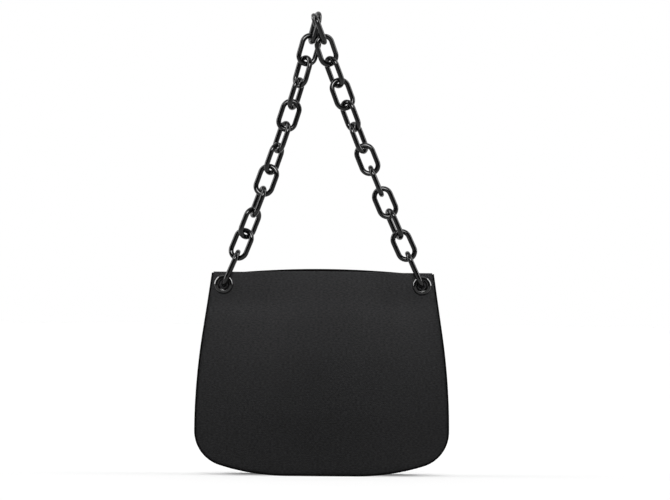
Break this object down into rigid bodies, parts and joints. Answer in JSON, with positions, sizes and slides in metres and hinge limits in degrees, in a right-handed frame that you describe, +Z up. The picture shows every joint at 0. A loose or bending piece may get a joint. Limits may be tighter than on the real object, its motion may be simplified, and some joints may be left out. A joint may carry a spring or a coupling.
{
  "type": "chain shoulder bag",
  "caption": "Soft shoulder bag with a tapered rounded body, open snap mouth, eyelets in its pinched top corners and a strap of interlocked oval chain links.",
  "frame": {"origin": "on the floor under the middle of the bag's base", "axes": "+X across the bag to its right seen from the front, +Y from the front panel to the back panel, +Z up along the chain"},
  "size_m": [0.2664, 0.0596, 0.4864],
  "materials": {
    "shell": "matte fine woven",
    "piping": "satin corded edge",
    "lining": "smooth twill",
    "board": "fabric-covered board",
    "chain": "black gloss lacquer",
    "fitting": "black gloss lacquer"
  },
  "bodies": {
    "bag": {"front_panel": "shell", "back_panel": "shell", "front_piping": "piping", "back_piping": "piping", "gusset": "shell", "front_facing": "shell", "back_facing": "shell", "front_lining": "lining", "back_lining": "lining", "gusset_lining": "lining", "base_board": "board", "slip_pocket": "lining", "snap_socket": "fitting", "snap_stud": "fitting", "left_eyelet": "fitting", "left_eyelet_washer": "fitting", "right_eyelet": "fitting", "right_eyelet_washer": "fitting"},
    "left_link_01": {"left_link_01": "chain"},
    "left_link_02": {"left_link_02": "chain"},
    "left_link_03": {"left_link_03": "chain"},
    "left_link_04": {"left_link_04": "chain"},
    "left_link_05": {"left_link_05": "chain"},
    "left_link_06": {"left_link_06": "chain"},
    "left_link_07": {"left_link_07": "chain"},
    "left_link_08": {"left_link_08": "chain"},
    "left_link_09": {"left_link_09": "chain"},
    "left_link_10": {"left_link_10": "chain"},
    "left_link_11": {"left_link_11": "chain"},
    "left_link_12": {"left_link_12": "chain"},
    "right_link_01": {"right_link_01": "chain"},
    "right_link_02": {"right_link_02": "chain"},
    "right_link_03": {"right_link_03": "chain"},
    "right_link_04": {"right_link_04": "chain"},
    "right_link_05": {"right_link_05": "chain"},
    "right_link_06": {"right_link_06": "chain"},
    "right_link_07": {"right_link_07": "chain"},
    "right_link_08": {"right_link_08": "chain"},
    "right_link_09": {"right_link_09": "chain"},
    "right_link_10": {"right_link_10": "chain"},
    "right_link_11": {"right_link_11": "chain"},
    "right_link_12": {"right_link_12": "chain"}
  },
  "joints": [
    {"name": "left_link_01_hinge", "type": "hinge", "parent": "bag", "child": "left_link_01", "pos_m": [0, 0, 0.2073], "axis": [1, 0, 0], "range_deg": [-30, 34]},
    {"name": "left_link_02_hinge", "type": "hinge", "parent": "left_link_01", "child": "left_link_02", "pos_m": [0, 0, 0.22708], "axis": [-1, 0, 0], "range_deg": [-45, 36]},
    {"name": "left_link_03_hinge", "type": "hinge", "parent": "left_link_02", "child": "left_link_03", "pos_m": [0, 0, 0.25337], "axis": [1, 0, 0], "range_deg": [-19, 34]},
    {"name": "left_link_04_hinge", "type": "hinge", "parent": "left_link_03", "child": "left_link_04", "pos_m": [0, 0, 0.27376], "axis": [-1, 0, 0], "range_deg": [-21, 11]},
    {"name": "left_link_05_hinge", "type": "hinge", "parent": "left_link_04", "child": "left_link_05", "pos_m": [0, 0, 0.29627], "axis": [1, 0, 0], "range_deg": [-18, 18]},
    {"name": "left_link_06_hinge", "type": "hinge", "parent": "left_link_05", "child": "left_link_06", "pos_m": [0, 0, 0.32047], "axis": [-1, 0, 0], "range_deg": [-21, 19]},
    {"name": "left_link_07_hinge", "type": "hinge", "parent": "left_link_06", "child": "left_link_07", "pos_m": [0, 0, 0.34437], "axis": [1, 0, 0], "range_deg": [-12, 20]},
    {"name": "left_link_08_hinge", "type": "hinge", "parent": "left_link_07", "child": "left_link_08", "pos_m": [0, 0, 0.36437], "axis": [-1, 0, 0], "range_deg": [-8, 18]},
    {"name": "left_link_09_hinge", "type": "hinge", "parent": "left_link_08", "child": "left_link_09", "pos_m": [0, 0, 0.38766], "axis": [1, 0, 0], "range_deg": [-13, 13]},
    {"name": "left_link_10_hinge", "type": "hinge", "parent": "left_link_09", "child": "left_link_10", "pos_m": [0, -0.0015, 0.41293], "axis": [-1, 0, 0], "range_deg": [-15, 16]},
    {"name": "left_link_11_hinge", "type": "hinge", "parent": "left_link_10", "child": "left_link_11", "pos_m": [0, -0.001, 0.43349], "axis": [1, 0, 0], "range_deg": [-21, 27]},
    {"name": "left_link_12_hinge", "type": "hinge", "parent": "left_link_11", "child": "left_link_12", "pos_m": [0, -0.0065, 0.46089], "axis": [-1, 0, 0], "range_deg": [-7, 8]},
    {"name": "right_link_01_hinge", "type": "hinge", "parent": "bag", "child": "right_link_01", "pos_m": [0, 0, 0.2073], "axis": [1, 0, 0], "range_deg": [-30, 34]},
    {"name": "right_link_02_hinge", "type": "hinge", "parent": "right_link_01", "child": "right_link_02", "pos_m": [0, 0, 0.22708], "axis": [-1, 0, 0], "range_deg": [-45, 36]},
    {"name": "right_link_03_hinge", "type": "hinge", "parent": "right_link_02", "child": "right_link_03", "pos_m": [0, 0, 0.25337], "axis": [1, 0, 0], "range_deg": [-19, 34]},
    {"name": "right_link_04_hinge", "type": "hinge", "parent": "right_link_03", "child": "right_link_04", "pos_m": [0, 0, 0.27376], "axis": [-1, 0, 0], "range_deg": [-21, 11]},
    {"name": "right_link_05_hinge", "type": "hinge", "parent": "right_link_04", "child": "right_link_05", "pos_m": [0, 0, 0.29627], "axis": [1, 0, 0], "range_deg": [-18, 18]},
    {"name": "right_link_06_hinge", "type": "hinge", "parent": "right_link_05", "child": "right_link_06", "pos_m": [0, 0, 0.32047], "axis": [-1, 0, 0], "range_deg": [-21, 19]},
    {"name": "right_link_07_hinge", "type": "hinge", "parent": "right_link_06", "child": "right_link_07", "pos_m": [0, 0, 0.34437], "axis": [1, 0, 0], "range_deg": [-12, 20]},
    {"name": "right_link_08_hinge", "type": "hinge", "parent": "right_link_07", "child": "right_link_08", "pos_m": [0, 0, 0.36437], "axis": [-1, 0, 0], "range_deg": [-8, 18]},
    {"name": "right_link_09_hinge", "type": "hinge", "parent": "right_link_08", "child": "right_link_09", "pos_m": [0, 0, 0.38766], "axis": [1, 0, 0], "range_deg": [-13, 13]},
    {"name": "right_link_10_hinge", "type": "hinge", "parent": "right_link_09", "child": "right_link_10", "pos_m": [0, -0.0015, 0.41293], "axis": [-1, 0, 0], "range_deg": [-15, 16]},
    {"name": "right_link_11_hinge", "type": "hinge", "parent": "right_link_10", "child": "right_link_11", "pos_m": [0, -0.001, 0.43349], "axis": [1, 0, 0], "range_deg": [-21, 27]},
    {"name": "right_link_12_hinge", "type": "hinge", "parent": "right_link_11", "child": "right_link_12", "pos_m": [0, -0.0065, 0.46089], "axis": [-1, 0, 0], "range_deg": [-7, 8]}
  ],
  "couplings": [
    {"joint": "right_link_01_hinge", "follows": "left_link_01_hinge", "ratio": 1},
    {"joint": "right_link_02_hinge", "follows": "left_link_02_hinge", "ratio": 1},
    {"joint": "right_link_03_hinge", "follows": "left_link_03_hinge", "ratio": 1},
    {"joint": "right_link_04_hinge", "follows": "left_link_04_hinge", "ratio": 1},
    {"joint": "right_link_05_hinge", "follows": "left_link_05_hinge", "ratio": 1},
    {"joint": "right_link_06_hinge", "follows": "left_link_06_hinge", "ratio": 1},
    {"joint": "right_link_07_hinge", "follows": "left_link_07_hinge", "ratio": 1},
    {"joint": "right_link_08_hinge", "follows": "left_link_08_hinge", "ratio": 1},
    {"joint": "right_link_09_hinge", "follows": "left_link_09_hinge", "ratio": 1},
    {"joint": "right_link_10_hinge", "follows": "left_link_10_hinge", "ratio": 1},
    {"joint": "right_link_11_hinge", "follows": "left_link_11_hinge", "ratio": 1},
    {"joint": "right_link_12_hinge", "follows": "left_link_12_hinge", "ratio": 1}
  ]
}
